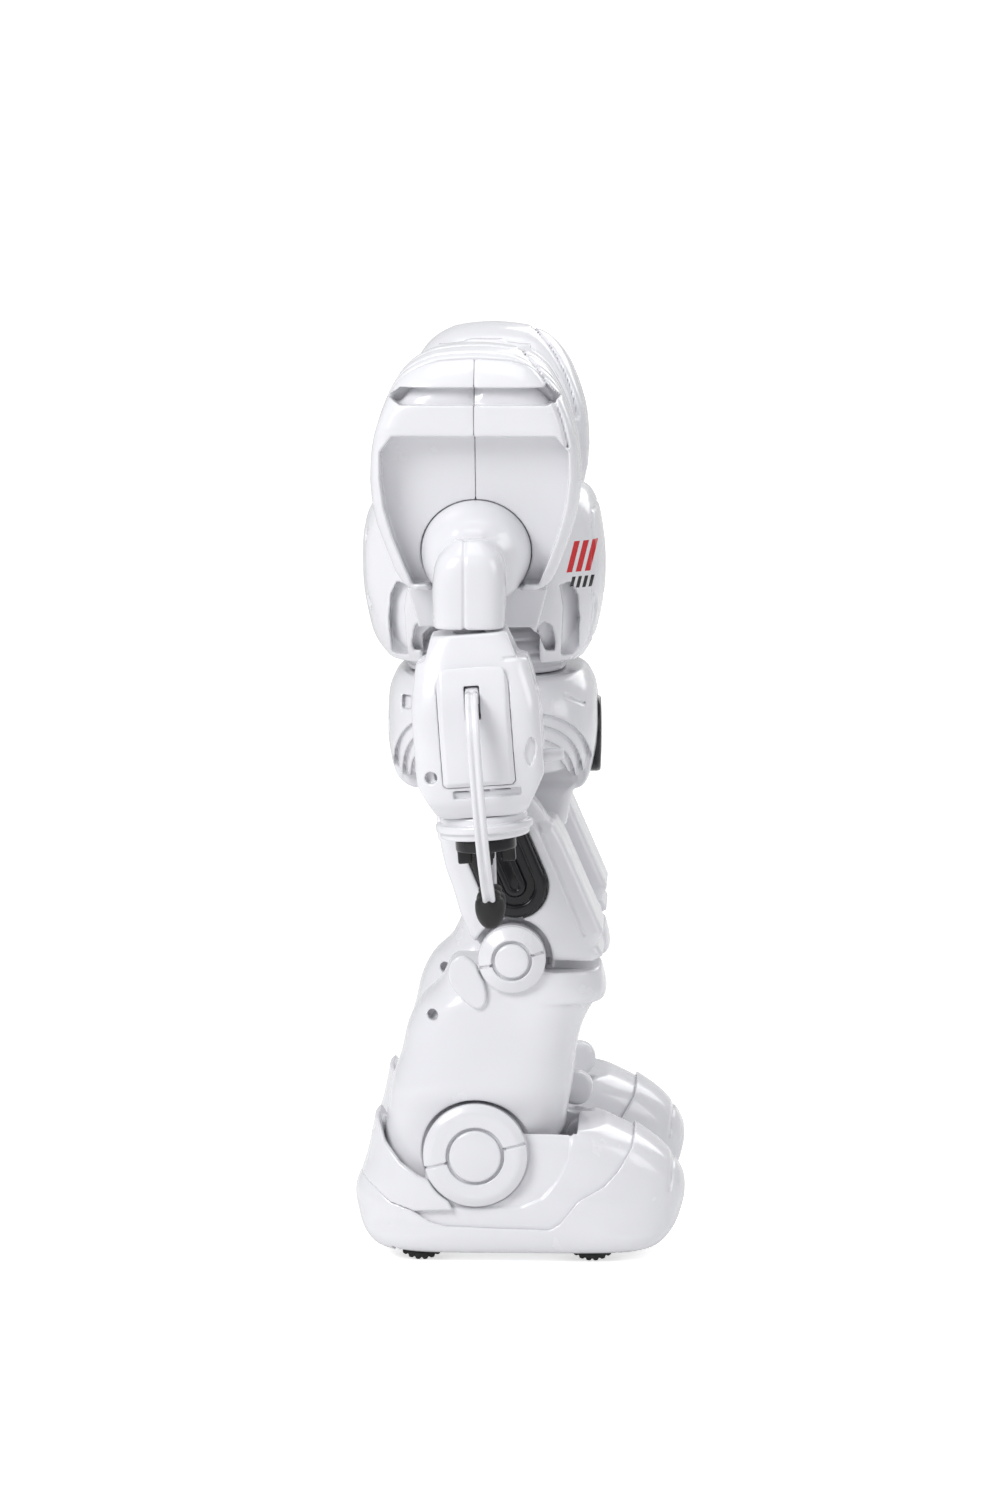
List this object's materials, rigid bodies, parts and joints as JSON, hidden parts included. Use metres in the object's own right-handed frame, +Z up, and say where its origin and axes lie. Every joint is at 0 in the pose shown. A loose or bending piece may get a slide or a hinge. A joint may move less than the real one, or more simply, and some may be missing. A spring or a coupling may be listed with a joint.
{
  "type": "humanoid robot kit",
  "caption": "White toy humanoid robot with round shoulder pads, claw hands on curved fingers, jointed legs and wheeled boots.",
  "frame": {"origin": "on the floor, midway between the feet and halfway between heel and toe", "axes": "+Z up, the robot faces -Y, its left side is +X"},
  "size_m": [0.2636, 0.1058, 0.3],
  "materials": {
    "white_shell": "glossy white moulded plastic",
    "black_gloss": "glossy black moulded plastic",
    "rubber": "satin black rubber",
    "dark_plastic": "matte dark grey plastic",
    "circuit_board": "green solder mask",
    "eye_lens": "clear pale blue lens"
  },
  "bodies": {
    "torso": {"chest_shell": "white_shell", "back_shell": "white_shell", "battery_door": "white_shell", "battery_pack": "dark_plastic", "main_circuit_board": "circuit_board", "speaker": "dark_plastic", "shoulder_drive": "dark_plastic", "waist_drum": "white_shell", "pelvis_front_shell": "white_shell", "pelvis_rear_shell": "white_shell", "belly_ring": "black_gloss", "neck_post": "dark_plastic", "left_shoulder_housing": "white_shell", "left_shoulder_cover_front": "white_shell", "left_shoulder_cover_rear": "white_shell", "right_shoulder_housing": "white_shell", "right_shoulder_cover_front": "white_shell", "right_shoulder_cover_rear": "white_shell"},
    "head": {"head_shell": "white_shell", "face_visor": "black_gloss", "left_eye": "eye_lens", "right_eye": "eye_lens"},
    "left_arm": {"left_upper_arm": "white_shell", "left_forearm_shell": "white_shell", "left_forearm_cover": "white_shell", "left_wrist_collar": "white_shell", "left_hand_hub": "black_gloss"},
    "left_outer_claw": {"left_outer_finger": "white_shell", "left_outer_fingertip": "rubber"},
    "left_inner_claw": {"left_inner_finger": "white_shell", "left_inner_fingertip": "rubber"},
    "left_peg": {"left_release_peg": "white_shell"},
    "left_thigh": {"left_thigh_shell": "white_shell", "left_thigh_panel": "black_gloss"},
    "left_shin": {"left_shin_shell": "white_shell", "left_knee_cap": "white_shell"},
    "left_foot": {"left_foot_base": "white_shell", "left_foot_upper": "white_shell", "left_ankle_cap": "white_shell"},
    "left_front_wheels": {"left_front_wheelset": "rubber"},
    "left_rear_wheels": {"left_rear_wheelset": "rubber"},
    "right_arm": {"right_upper_arm": "white_shell", "right_forearm_shell": "white_shell", "right_forearm_cover": "white_shell", "right_wrist_collar": "white_shell", "right_hand_hub": "black_gloss"},
    "right_outer_claw": {"right_outer_finger": "white_shell", "right_outer_fingertip": "rubber"},
    "right_inner_claw": {"right_inner_finger": "white_shell", "right_inner_fingertip": "rubber"},
    "right_peg": {"right_release_peg": "white_shell"},
    "right_thigh": {"right_thigh_shell": "white_shell", "right_thigh_panel": "black_gloss"},
    "right_shin": {"right_shin_shell": "white_shell", "right_knee_cap": "white_shell"},
    "right_foot": {"right_foot_base": "white_shell", "right_foot_upper": "white_shell", "right_ankle_cap": "white_shell"},
    "right_front_wheels": {"right_front_wheelset": "rubber"},
    "right_rear_wheels": {"right_rear_wheelset": "rubber"}
  },
  "joints": [
    {"name": "head_turn", "type": "hinge", "parent": "torso", "child": "head", "pos_m": [0, 0.013, 0.258], "axis": [0, 0, 1], "range_deg": [-60, 60]},
    {"name": "left_shoulder_swing", "type": "hinge", "parent": "torso", "child": "left_arm", "pos_m": [0.078, 0.013, 0.2325], "axis": [-0.9563, 0, 0.2924], "range_deg": [-30, 90]},
    {"name": "left_outer_claw_open", "type": "hinge", "parent": "left_arm", "child": "left_outer_claw", "pos_m": [0.1162, 0.01277, 0.19105], "axis": [0, -0.9972, 0.075], "range_deg": [0, 8]},
    {"name": "left_inner_claw_open", "type": "hinge", "parent": "left_arm", "child": "left_inner_claw", "pos_m": [0.0838, 0.01277, 0.19105], "axis": [0, 0.9972, -0.075], "range_deg": [0, 8]},
    {"name": "left_peg_press", "type": "slide", "parent": "left_arm", "child": "left_peg", "axis": [0, 0.9972, -0.075], "range_m": [0, 0.003], "stiffness_N_per_m": 200},
    {"name": "left_hip", "type": "hinge", "parent": "torso", "child": "left_thigh", "pos_m": [0.044, 0.015, 0.157], "axis": [-1, 0, 0], "range_deg": [-6, 8]},
    {"name": "left_knee", "type": "hinge", "parent": "left_thigh", "child": "left_shin", "pos_m": [0.044, 0.002, 0.0999], "axis": [1, 0, 0], "range_deg": [-4, 8]},
    {"name": "left_ankle", "type": "hinge", "parent": "left_shin", "child": "left_foot", "pos_m": [0.044, 0.0138, 0.036], "axis": [-1, 0, 0], "range_deg": [-5, 5]},
    {"name": "left_front_wheels_roll", "type": "hinge", "parent": "left_foot", "child": "left_front_wheels", "pos_m": [0.042, -0.024, 0.0095], "axis": [1, 0, 0], "continuous": true},
    {"name": "left_rear_wheels_roll", "type": "hinge", "parent": "left_foot", "child": "left_rear_wheels", "pos_m": [0.042, 0.0315, 0.0095], "axis": [1, 0, 0], "continuous": true},
    {"name": "right_shoulder_swing", "type": "hinge", "parent": "torso", "child": "right_arm", "pos_m": [-0.078, 0.013, 0.2325], "axis": [-0.9563, 0, -0.2924], "range_deg": [-30, 90]},
    {"name": "right_outer_claw_open", "type": "hinge", "parent": "right_arm", "child": "right_outer_claw", "pos_m": [-0.1162, 0.01277, 0.19105], "axis": [0, 0.9972, -0.075], "range_deg": [0, 8]},
    {"name": "right_inner_claw_open", "type": "hinge", "parent": "right_arm", "child": "right_inner_claw", "pos_m": [-0.0838, 0.01277, 0.19105], "axis": [0, -0.9972, 0.075], "range_deg": [0, 8]},
    {"name": "right_peg_press", "type": "slide", "parent": "right_arm", "child": "right_peg", "axis": [0, 0.9972, -0.075], "range_m": [0, 0.003], "stiffness_N_per_m": 200},
    {"name": "right_hip", "type": "hinge", "parent": "torso", "child": "right_thigh", "pos_m": [-0.044, 0.015, 0.157], "axis": [-1, 0, 0], "range_deg": [-6, 8]},
    {"name": "right_knee", "type": "hinge", "parent": "right_thigh", "child": "right_shin", "pos_m": [-0.044, 0.002, 0.0999], "axis": [1, 0, 0], "range_deg": [-4, 8]},
    {"name": "right_ankle", "type": "hinge", "parent": "right_shin", "child": "right_foot", "pos_m": [-0.044, 0.0138, 0.036], "axis": [-1, 0, 0], "range_deg": [-5, 5]},
    {"name": "right_front_wheels_roll", "type": "hinge", "parent": "right_foot", "child": "right_front_wheels", "pos_m": [-0.042, -0.024, 0.0095], "axis": [1, 0, 0], "continuous": true},
    {"name": "right_rear_wheels_roll", "type": "hinge", "parent": "right_foot", "child": "right_rear_wheels", "pos_m": [-0.042, 0.0315, 0.0095], "axis": [1, 0, 0], "continuous": true}
  ],
  "couplings": [
    {"joint": "left_inner_claw_open", "follows": "left_outer_claw_open", "ratio": 1},
    {"joint": "right_inner_claw_open", "follows": "right_outer_claw_open", "ratio": 1}
  ]
}
